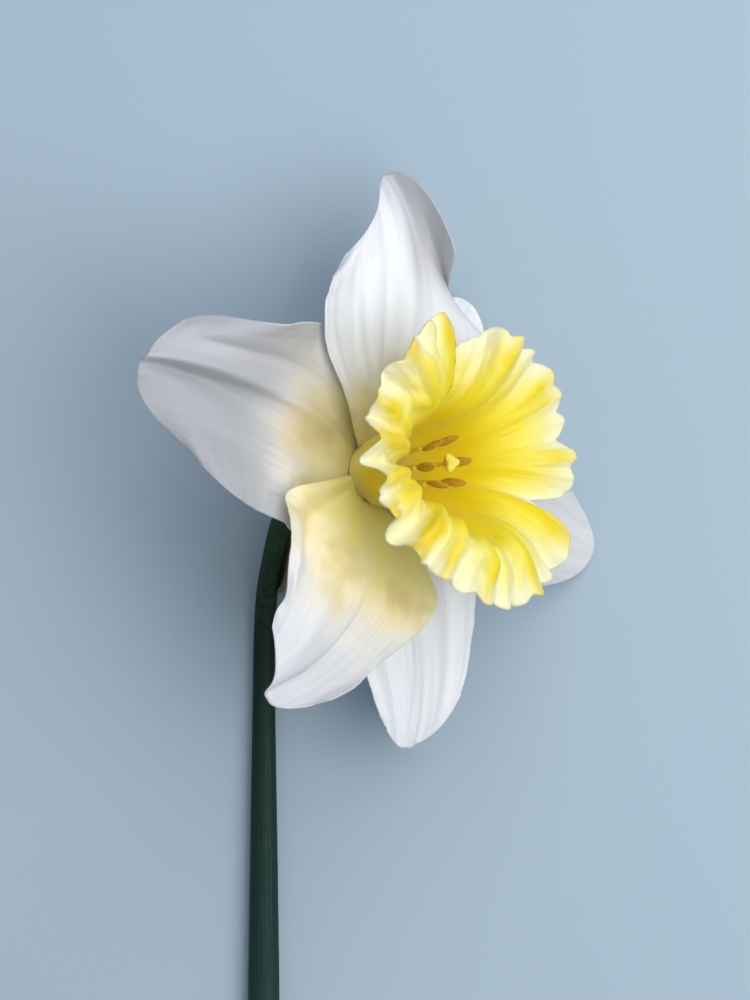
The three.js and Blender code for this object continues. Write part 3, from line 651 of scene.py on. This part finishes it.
def trumpetMesh():
    # the cup's plain wall before any fold, with how far along and round each point is
    rows, columns = corona["rows"], corona["columns"]
    s, turn = np.meshgrid(np.linspace(0, 1, rows), np.arange(columns) / columns, indexing="ij")
    around, bearing = 2 * math.pi * turn, 360 * turn
    bend, reach, wallFlare, lipFlare, length = (roundForm(k, bearing) for k in range(5))
    lobe = np.abs(np.cos(corona["lobes"] * around / 2 + math.radians(corona["lobePhase"])))
    share = s * length * (1 - corona["lobeCut"] * (1 - lobe ** corona["lobeShape"]))
    for at, halfWidth, depth in coronaSplits:
        share = share * (1 - depth * np.exp(-((turnBetween(at, bearing) / halfWidth) ** 2)))
    radius, height = np.full_like(s, corona["foot"][0]), np.full_like(s, corona["foot"][1])
    steps, foot = corona["steps"], corona["footFlare"]
    for i in range(steps):
        t = (i + 0.5) * share / steps
        flare = foot + (wallFlare - foot) * np.clip(t / corona["footShare"], 0, 1)
        angle = np.radians(flare + (lipFlare - flare) * smoothstep(t, bend - reach, bend + reach))
        radius = radius + np.sin(angle) * share * corona["length"] / steps
        height = height + np.cos(angle) * share * corona["length"] / steps
    points = np.stack([radius * np.sin(around), radius * np.cos(around), height], -1)
    facts = {"along": s, "around": around, "across": np.zeros_like(s)}
    return gridMesh("corona", toFloor(points), True, facts)


def ruffleRecipe(finish):
    recipe = Recipe("coronaRuffle")
    geometry = recipe.geometry()
    pleats, ruffles, lobes = (recipe.input(name) for name in ("Pleats", "Ruffles", "Lobes"))
    pleatPhase, rufflePhase = recipe.input("Pleat phase"), recipe.input("Ruffle phase")
    pleatDepth, lobePhase = recipe.input("Pleat depth"), recipe.input("Lobe phase")
    leftRuffle, rightRuffle = recipe.input("Left ruffle"), recipe.input("Right ruffle")
    lobeRise, crinkle, crumple = (recipe.input(name) for name in ("Lobe rise", "Crinkle", "Crumple"))
    thickness, edge, seed = (recipe.input(name) for name in ("Thickness", "Edge thickness", "Seed"))
    along, around = recipe.attribute("along"), recipe.attribute("around")
    cosine, sine = recipe.math("COSINE", around), recipe.math("SINE", around)
    side = (sine + 1) * 0.5  # 0 on the flower's left, 1 on its right
    uneven = 1 + recipe.math("SINE", around * 3 + 1) * 0.35 + recipe.math("SINE", around * 5 + 2) * 0.2
    # each wave grows towards the lip: pleats early, ruffles later, teeth last
    pleat = recipe.math("COSINE", around * pleats + pleatPhase) * along ** 1.3 * pleatDepth
    depth = leftRuffle + (rightRuffle - leftRuffle) * side
    ruffle = recipe.math("COSINE", around * ruffles + rufflePhase) * along ** 3 * depth
    teeth = recipe.math("COSINE", around * lobes + lobePhase * 2) * along ** 5 * lobeRise
    rough = recipe.noise(recipe.join(cosine * 9, sine * 9, along * 2 + seed), detail=2.0)
    knobs = recipe.noise(recipe.join(cosine * 6, sine * 6, along * 7 + seed * 2))
    fold = (pleat + ruffle) * uneven + teeth + (rough - 0.5) * 4 * crinkle * along ** 3
    fold = fold + (knobs - 0.5) * 4 * crumple * (1 - side) * recipe.smooth(along, 0.5, 0.85)
    # the fold's height, kept as "crest" for the painted shade and highlights of the finish
    shaped = recipe.shift(recipe.store(geometry, "crest", fold / leftRuffle * -1), fold)
    sheet = thickness + (edge - thickness) * recipe.smooth(along, 0.7, 1.0)
    recipe.close(recipe.thicken(shaped, sheet), finish)
    return recipe


cup = grow("corona_cup", trumpetMesh(), ruffleRecipe(coronaFinish()), {
    "Pleats": corona["pleats"], "Pleat depth": corona["pleatDepth"] * mm,
    "Pleat phase": math.radians(corona["pleatPhase"]),
    "Ruffles": corona["ruffles"], "Left ruffle": corona["leftRuffle"] * mm,
    "Right ruffle": corona["rightRuffle"] * mm, "Ruffle phase": math.radians(corona["rufflePhase"]),
    "Lobes": corona["lobes"], "Lobe rise": corona["lobeRise"] * mm,
    "Lobe phase": math.radians(corona["lobePhase"]),
    "Crinkle": corona["crinkle"] * mm, "Crumple": corona["crumple"] * mm,
    "Thickness": corona["thickness"] * mm, "Edge thickness": corona["edge"] * mm, "Seed": corona["seed"],
})
place(cup, "corona", "corona")


def roundedProfile(corners, step=0.12, passes=6):
    # a fine line through the corners, its edges eased
    corners = np.array(corners, float)
    run = np.append(0, np.cumsum(np.linalg.norm(np.diff(corners, axis=0), axis=1)))
    at = np.linspace(0, run[-1], int(run[-1] / step))
    line = np.stack([np.interp(at, run, corners[:, k]) for k in (0, 1)], -1)
    for _ in range(passes):
        line[1:-1] = (line[:-2] + 2 * line[1:-1] + line[2:]) / 4
    return line


def turnedSkin(name, profile, columns, lobes=0, swell=0.0):
    # radius and height pairs turned round the flower's axis, with lobes if the piece has them
    turn = 2 * math.pi * np.arange(columns) / columns
    radius = profile[:, :1] * (1 + swell * np.cos(lobes * turn))
    height = profile[:, 1:] + 0 * radius
    points = np.stack([radius * np.cos(turn), radius * np.sin(turn), height], -1)
    low, high = profile[:, 1].min(), profile[:, 1].max()
    return skinMesh(name, toFloor(points), (profile[:, 1] - low) / (high - low))


def skinMesh(name, points, along):
    turn = 2 * math.pi * np.arange(points.shape[1]) / points.shape[1]
    spread = np.ones(points.shape[:2])
    facts = {"along": along[:, None], "turnX": np.cos(turn), "turnY": np.sin(turn)}
    return gridMesh(name, points, True, {label: values * spread for label, values in facts.items()})


def skinRecipe(name, finish):
    # a closed skin: ribs that follow it and a soft unevenness
    recipe = Recipe(name)
    geometry = recipe.geometry()
    ribs, ribHeight = recipe.input("Ribs", 12.0), recipe.input("Rib height", 0.00003)
    bumps, bumpHeight = recipe.input("Bump scale", 400.0), recipe.input("Bump height", 0.00005)
    bumpsFrom = recipe.input("Bumps from", -1.0)
    along = recipe.attribute("along")
    turn = recipe.math("ARCTAN2", recipe.attribute("turnY"), recipe.attribute("turnX"))
    rough = recipe.noise(recipe.add("GeometryNodeInputPosition"), bumps, 2.0)
    relief = recipe.math("COSINE", turn * ribs) * ribHeight * recipe.math("SINE", along * math.pi)
    relief = relief + (rough - 0.5) * 2 * bumpHeight * recipe.smooth(along, bumpsFrom, bumpsFrom + 0.05)
    recipe.close(recipe.shift(recipe.weld(geometry), relief), finish)
    return recipe


tube = {
    # radius and height corners
    "outside": [(2.7, -13.2), (3.3, -9.6), (5.1, -5.6), (7.5, -3.6), (7.5, -3)],
    "throat": [(5.2, -3), (4.1, -5.6), (2.15, -10)],
    "columns": 120,
    "ribs": 6,
    "ribHeight": 0.12,
    "stops": [
        (0.0, (0.09, 0.17, 0.03)), (0.3, (0.18, 0.25, 0.06)), (0.6, (0.45, 0.42, 0.15)),
        (0.8, (0.92, 0.82, 0.45)), (1.0, (0.95, 0.88, 0.55)),
    ],
}
foot, floorOfThroat = (0, tube["outside"][0][1]), (0, tube["throat"][-1][1])
tubeLine = roundedProfile([foot, *tube["outside"], *tube["throat"], floorOfThroat])
tubeFinish = skinFinish("tubeGreen", tube["stops"], streaks=5, reach=2, contrast=0.4, subsurface=0.2)
tubeSkin = grow(
    "floral_tube_skin", turnedSkin("floral_tube_skin", tubeLine, tube["columns"]),
    skinRecipe("tubeSkin", tubeFinish), {"Ribs": tube["ribs"], "Rib height": tube["ribHeight"] * mm},
)
place(tubeSkin, "tube", "floral_tube")

ovary = {
    "from": -22.3,
    "to": -13.3,
    "radius": 3.2,
    "ends": 2.1,
    "lobes": 3,
    "swell": 0.05,
    "rows": 70,
    "columns": 120,
    "ribs": 18,
    "ribHeight": 0.03,
    "stops": [(0.0, (0.05, 0.13, 0.03)), (1.0, (0.10, 0.19, 0.04))],
}
t = np.linspace(0, 1, ovary["rows"])
bulge = ovary["ends"] + (ovary["radius"] - ovary["ends"]) * np.sin(math.pi * t) ** 0.7
height = ovary["from"] + (ovary["to"] - ovary["from"]) * t
ovaryLine = np.array([(0, ovary["from"]), *zip(bulge, height), (0, ovary["to"])])
ovaryFinish = skinFinish("ovaryGreen", ovary["stops"], streaks=6, reach=2, roughness=0.45, subsurface=0.1)
ovarySkin = grow(
    "ovary_skin", turnedSkin("ovary_skin", ovaryLine, ovary["columns"], ovary["lobes"], ovary["swell"]),
    skinRecipe("ovarySkin", ovaryFinish), {"Ribs": ovary["ribs"], "Rib height": ovary["ribHeight"] * mm},
)
place(ovarySkin, "ovary", "ovary")

pistil = {
    "style": [(0.5, -9.7), (0.43, 16.2)],
    "stigma": [(1.2, 17.2), (1.5, 17.85), (1.05, 18.5)],
    "dimple": 18.18,  # the height of the stigma's middle
    "lobes": 3,
    "swell": 0.3,
    "columns": 72,
    "papillae": 0.09,
    "papillaScale": 2600,
    "papillaeFrom": 0.93,
    "stops": [
        (0.0, (0.40, 0.42, 0.06)), (0.6, (0.62, 0.55, 0.06)),
        (0.9, (0.74, 0.60, 0.05)), (1.0, (0.82, 0.68, 0.10)),
    ],
}
foot = (0, pistil["style"][0][1])
pistilLine = roundedProfile([foot, *pistil["style"], *pistil["stigma"], (0, pistil["dimple"])], 0.1, 3)
swell = pistil["swell"] * np.clip(pistilLine[:, 1:] - pistil["style"][1][1], 0, 1)
pistilFinish = skinFinish("styleGreen", pistil["stops"], streaks=3, reach=2, contrast=0.2, roughness=0.45,
                          subsurface=0.3)
pistilSkin = grow(
    "pistil_skin", turnedSkin("pistil_skin", pistilLine, pistil["columns"], pistil["lobes"], swell),
    skinRecipe("pistilSkin", pistilFinish), {
        "Rib height": 0.0, "Bump scale": pistil["papillaScale"], "Bump height": pistil["papillae"] * mm,
        "Bumps from": pistil["papillaeFrom"],
    },
)
place(pistilSkin, "filament", "pistil")

stamen = {
    "count": 6,
    "foot": (1.38, 0, -9.7),  # outwards from the axis, across and up it
    "knee": (2.16, 0, -2),
    "head": (3.6, 0, 12.4),
    "radius": (0.48, 0.38),
    "stray": 1.5,  # how far each leans its own way
    "seed": 5,
    "stops": [(0.0, (0.50, 0.48, 0.06)), (1.0, (0.76, 0.60, 0.06))],
}
anther = {
    "size": (1.2, 1.7, 5.8),
    "spot": (3.95, 0, 15.7),
    "lean": 12,
    "groove": 0.35,
    "grooveWidth": 0.16,
    "grains": 40,  # to a square millimetre
    "grainRadius": 0.06,
    "stops": [(0.0, (0.42, 0.18, 0.01)), (0.5, (0.56, 0.28, 0.012)), (1.0, (0.74, 0.46, 0.03))],
}


def closeRing(recipe, part, finish):
    # copies of the part round the flower's axis, each leaning a little its own way
    count, seed = recipe.input("Count", kind="Int"), recipe.input("Seed", kind="Int")
    stray = recipe.input("Stray")
    points = recipe.add("GeometryNodeMeshCircle", None, {"Vertices": count, "Radius": 0.0})
    index = recipe.add("GeometryNodeInputIndex")
    draw = recipe.add("FunctionNodeRandomValue", {"data_type": "FLOAT"},
                      {2: -1.0, 3: 1.0, 7: index, 8: seed}, 1)
    turn = recipe.join(0.0, draw * stray, index * (2 * math.pi) / count + draw * 0.1)
    copies = recipe.add("GeometryNodeInstanceOnPoints", None, {0: points, 2: part, 5: turn})
    whole = recipe.add("GeometryNodeRealizeInstances", None, {0: copies})
    seated = recipe.add("GeometryNodeTransform", None, {
        0: whole, "Translation": Vector(flower["centre"]) * mm, "Rotation": turned.to_euler(),
        "Scale": (mm, mm, mm),
    })
    recipe.close(seated, finish)
    return recipe


def filamentRecipe(finish):
    recipe = Recipe("filamentRing")
    foot, knee, head = (recipe.input(name, kind="Vector") for name in ("Foot", "Knee", "Head"))
    footRadius, headRadius = recipe.input("Foot radius"), recipe.input("Head radius")
    line = recipe.add("GeometryNodeCurveQuadraticBezier", None,
                      {"Resolution": 32, "Start": foot, "Middle": knee, "End": head})
    share = recipe.add("GeometryNodeSplineParameter")
    line = recipe.store(line, "along", share)
    outline = recipe.add("GeometryNodeCurvePrimitiveCircle", None, {"Resolution": 24, "Radius": 1.0})
    part = recipe.add("GeometryNodeCurveToMesh", None, {
        0: line, 1: outline, "Scale": footRadius + (headRadius - footRadius) * share, "Fill Caps": True,
    })
    return closeRing(recipe, part, finish)


def antherRecipe(finish):
    recipe = Recipe("antherRing")
    size, spot = recipe.input("Size", kind="Vector"), recipe.input("Spot", kind="Vector")
    lean, groove, grooveWidth = (recipe.input(name) for name in ("Lean", "Groove", "Groove width"))
    grains, grainRadius = recipe.input("Grains"), recipe.input("Grain radius")
    ball = recipe.add("GeometryNodeMeshUVSphere", None, {"Segments": 48, "Rings": 32, "Radius": 0.5})
    parts = recipe.add("ShaderNodeSeparateXYZ", None, {0: recipe.add("GeometryNodeInputPosition")})
    depth, width, length = (parts.out(number) for number in range(3))
    aside = width / grooveWidth
    pinch = 1 - recipe.math("EXPONENT", -(aside * aside)) * groove
    shape = recipe.vector("MULTIPLY", recipe.join(depth * pinch, width, length), size)
    pod = recipe.add("GeometryNodeSetPosition", None, {0: ball, "Position": shape})
    scatter = recipe.add("GeometryNodeDistributePointsOnFaces", None,
                         {0: pod, "Density": grains, "Seed": 2})
    grain = recipe.add("GeometryNodeMeshIcoSphere", None, {"Radius": grainRadius, "Subdivisions": 1})
    swell = recipe.add("FunctionNodeRandomValue", {"data_type": "FLOAT"}, {2: 0.6, 3: 1.3, 8: 4}, 1)
    pollen = recipe.add("GeometryNodeInstanceOnPoints", None, {0: scatter, 2: grain, 6: swell})
    pollen = recipe.add("GeometryNodeRealizeInstances", None, {0: pollen})
    dusted = recipe.add("GeometryNodeJoinGeometry", None,
                        {0: [recipe.store(pollen, "along", 1.0), recipe.store(pod, "along", 0.3)]})
    tilt = recipe.join(0.0, lean, 0.0)
    part = recipe.add("GeometryNodeTransform", None, {0: dusted, "Translation": spot, "Rotation": tilt})
    return closeRing(recipe, part, finish)


nothing = bpy.data.meshes.new("nothing")
ringValues = {"Count": stamen["count"], "Stray": math.radians(stamen["stray"]), "Seed": stamen["seed"]}
numbers = range(1, stamen["count"] + 1)

filamentFinish = skinFinish("filamentCream", stamen["stops"], streaks=2, reach=3, contrast=0.2,
                            subsurface=0.3)
filaments = grow("filaments", nothing, filamentRecipe(filamentFinish), {
    **ringValues, "Foot": stamen["foot"], "Knee": stamen["knee"], "Head": stamen["head"],
    "Foot radius": stamen["radius"][0], "Head radius": stamen["radius"][1],
})
place(filaments, "filament", *(f"filament_{number}" for number in numbers))

antherFinish = skinFinish("pollenGold", anther["stops"], streaks=3, reach=3, contrast=0.3, roughness=0.8)
anthers = grow("anthers", nothing, antherRecipe(antherFinish), {
    **ringValues, "Size": anther["size"], "Spot": anther["spot"], "Lean": math.radians(anther["lean"]),
    "Groove": anther["groove"], "Groove width": anther["grooveWidth"],
    "Grains": anther["grains"], "Grain radius": anther["grainRadius"],
})
place(anthers, "anther", *(f"anther_{number}" for number in numbers))


def throughPoints(places, count):
    # evenly stepped points on a smooth curve through the places, and its length
    places = np.array(places, float)
    knots = np.append(0, np.cumsum(np.linalg.norm(np.diff(places, axis=0), axis=1) ** 0.5))
    slopes = np.gradient(places, knots, axis=0)
    at = np.linspace(0, knots[-1], 1200)
    k = np.clip(np.searchsorted(knots, at, side="right") - 1, 0, len(knots) - 2)
    start, end = knots[k, None], knots[k + 1, None]
    fine = cubic(at[:, None], start, end, places[k], places[k + 1], slopes[k], slopes[k + 1])
    run = np.append(0, np.cumsum(np.linalg.norm(np.diff(fine, axis=0), axis=1)))
    even = np.linspace(0, run[-1], count)
    return np.stack([np.interp(even, run, fine[:, n]) for n in range(places.shape[1])], -1)


def unit(vectors):
    return vectors / np.linalg.norm(vectors, axis=-1, keepdims=True)


centre, forward = np.array(flower["centre"]), np.array(axis)
stem = {
    # floor points and radius, from the cut end to the neck; the last two follow the flower's axis
    "places": [
        (-21.1, -106, 2.85, 2.95), (-21.1, -48, 2.6, 2.7), (-21.1, -20, 2.25, 2.35), (-21.1, 8, 1.85, 1.95),
        (-21, 20, 2, 1.85), (-20.4, 29, 3.4, 1.85), (-18.3, 39.4, 6, 1.9), (-16.4, 46.4, 8.4, 1.9),
        (*(centre - 25.4 * forward), 1.9), (*(centre - 22.4 * forward), 1.9),
    ],
    "rows": 360,
    "columns": 72,
    "keel": 0.08,  # the two long edges
    "hollow": 0.5,  # of the radius
    "hollowDepth": 14,  # in rows
    "floorGap": 0.02,
    "ribs": 22,
    "ribHeight": 0.035,
    "bumpScale": 300,
    "bumpHeight": 0.04,
    # the stem's own dark green, darkened nearly to black as painted shade, darkest a little below the neck
    "stops": [
        (0.0, (0.014, 0.062, 0.040)), (0.4, (0.006, 0.036, 0.027)),
        (0.8, (0.005, 0.022, 0.016)), (1.0, (0.04, 0.09, 0.03)),
    ],
}


def stemSkin():
    line = throughPoints(stem["places"], stem["rows"])
    path, radius = line[:, :3], line[:, 3]
    along = unit(np.gradient(path, axis=0))
    side = unit(np.cross((0, 0, 1), along))
    up = np.cross(along, side)
    # rows and shares of the radius, from the bottom of the hollow to the cut, then up the outside
    depth, hollow, last = stem["hollowDepth"], stem["hollow"], stem["rows"] - 1
    inside = [(depth, 0), (depth, hollow * 0.8), (2, hollow), (0, hollow * 1.1), (0, 0.94)]
    order = np.array(inside + [(k, 1) for k in range(1, stem["rows"])] + [(last, 0)])
    row, share = order[:, 0].astype(int), order[:, 1]
    turn = 2 * math.pi * np.arange(stem["columns"]) / stem["columns"]
    reach = (radius[row] * share)[:, None] * (1 + stem["keel"] * np.cos(2 * turn))
    points = path[row][:, None] + (reach * np.cos(turn))[..., None] * side[row][:, None]
    points = points + (reach * np.sin(turn))[..., None] * up[row][:, None]
    points[..., 2] = np.maximum(points[..., 2], stem["floorGap"])
    mesh = skinMesh("stem_stalk", points * mm, row / last)
    cut = np.repeat(np.arange(len(order)) < len(inside), stem["columns"]).astype(np.float32)
    mesh.attributes.new("cut", "FLOAT", "POINT").data.foreach_set("value", cut)
    return mesh


stemFinish = skinFinish("stemGreen", stem["stops"], streaks=5, reach=12, roughness=0.55, gloss=0.2)
stemStalk = grow("stem_stalk", stemSkin(), skinRecipe("stemSkin", stemFinish), {
    "Ribs": stem["ribs"], "Rib height": stem["ribHeight"] * mm,
    "Bump scale": stem["bumpScale"], "Bump height": stem["bumpHeight"] * mm,
})
place(stemStalk, "stem", "stem")

spathe = {
    "places": [(-20.3, 29.5, 3.6), (-18.5, 38, 5.6), (-17.6, 45, 5.6), (-17, 53, 5.2), (-16.6, 61, 4.6)],
    "facing": (0.8, 0, -0.6),  # the side of the stem it stands on
    "radius": (2.85, 1.6),
    "gape": 3,  # the radius where it stands widest open
    "wrap": (88, 25),  # half the angle it goes round, at the foot and at the tip
    "floorGap": 0.25,
    "rows": 120,
    "columns": 64,
    "thickness": 0.35,
    "edge": 0.15,
    "veins": 11,
    "veinHeight": 0.08,
    "ripple": 0.3,
    "seed": 7,
    "stops": [(0.0, (0.20, 0.14, 0.06)), (0.5, (0.30, 0.19, 0.09)), (1.0, (0.22, 0.12, 0.05))],
}


def spatheSheet():
    rows, columns = np.linspace(0, 1, spathe["rows"]), np.linspace(-1, 1, spathe["columns"])
    s, w = np.meshgrid(rows, columns, indexing="ij")
    path = throughPoints(spathe["places"], spathe["rows"])
    along = unit(np.gradient(path, axis=0))
    facing = np.array(spathe["facing"])
    outer = unit(facing - (along @ facing)[:, None] * along)[:, None]
    side = np.cross(along[:, None], outer)
    gape = np.sin(math.pi * np.clip(s / 0.9, 0, 1)) ** 1.5
    radius = spathe["radius"][0] + (spathe["radius"][1] - spathe["radius"][0]) * s
    radius = radius + (spathe["gape"] - radius) * gape
    turn = np.radians(spathe["wrap"][0] + (spathe["wrap"][1] - spathe["wrap"][0]) * s**0.6) * w
    points = path[:, None] + (radius * np.cos(turn))[..., None] * outer
    points = points + (radius * np.sin(turn))[..., None] * side
    points[..., 2] = np.maximum(points[..., 2], spathe["floorGap"])
    return gridMesh("spathe_paper", points * mm, False, {"along": s, "across": w})


spatheFinish = skinFinish("spathePaper", spathe["stops"], streaks=9, reach=3, contrast=0.7,
                          roughness=0.65, subsurface=0.1)
spathePaper = grow("spathe_paper", spatheSheet(), sheetRecipe("spatheSheet", spatheFinish), {
    "Thickness": spathe["thickness"] * mm, "Edge thickness": spathe["edge"] * mm,
    "Veins": spathe["veins"], "Vein height": spathe["veinHeight"] * mm,
    "Ripple": spathe["ripple"] * mm, "Seed": spathe["seed"],
})
place(spathePaper, "spathe", "spathe")

view = {"spot": (-0.29, 45.96, 626.4), "lens": 120, "sensor": 36, "nearest": 10}
camera = bpy.data.objects.new("camera", bpy.data.cameras.new("camera"))
camera.data.lens, camera.data.sensor_width = view["lens"], view["sensor"]
camera.data.clip_start = view["nearest"] * mm
camera.location = Vector(view["spot"]) * mm
bpy.context.scene.collection.objects.link(camera)
bpy.context.scene.camera = camera

# the studio is in metres
studio = {
    "floorSize": 3,
    "floorDepth": 0.0003,
    "floorColor": (0.36, 0.46, 0.54, 1),
    "aim": (0.005, 0.05, 0.03),
    "skyColor": (0.75, 0.82, 0.92, 1),
    "skyStrength": 0.45,
    "lights": {  # where it hangs, its size, power and colour
        "keyLight": ((0.3, -0.02, 0.55), 0.55, 2.6, (1.0, 0.98, 0.94)),
        "fillLight": ((0.14, 0.42, 0.52), 0.5, 1.7, (0.96, 0.97, 1.0)),
    },
}
floorFinish, net = newFinish("floorPale")
closeFinish(net, net.add("ShaderNodeBsdfPrincipled", None,
                         {"Base Color": studio["floorColor"], "Roughness": 0.9}))
floorMesh = bpy.data.meshes.new("floor")
squareCorners = [(-1, -1), (1, -1), (1, 1), (-1, 1)]
size, depth = studio["floorSize"], studio["floorDepth"]
floorMesh.from_pydata([(x * size, y * size, -depth) for x, y in squareCorners], [], [(0, 1, 2, 3)])
floor = bpy.data.objects.new("floor", floorMesh)
floor.data.materials.append(floorFinish)
bpy.context.scene.collection.objects.link(floor)

for name, (spot, size, power, color) in studio["lights"].items():
    lamp = bpy.data.lights.new(name, "AREA")
    lamp.shape, lamp.size, lamp.energy, lamp.color = "DISK", size, power, color
    light = bpy.data.objects.new(name, lamp)
    light.location = spot
    light.rotation_euler = (Vector(studio["aim"]) - Vector(spot)).to_track_quat("-Z", "Y").to_euler()
    bpy.context.scene.collection.objects.link(light)

world = bpy.data.worlds.new("studio")
world.use_nodes = True
sky = world.node_tree.nodes["Background"].inputs
sky["Color"].default_value, sky["Strength"].default_value = studio["skyColor"], studio["skyStrength"]
bpy.context.scene.world = world
bpy.context.scene.view_settings.view_transform = "Standard"
print("floor, camera and lights set")

print("all pieces made")
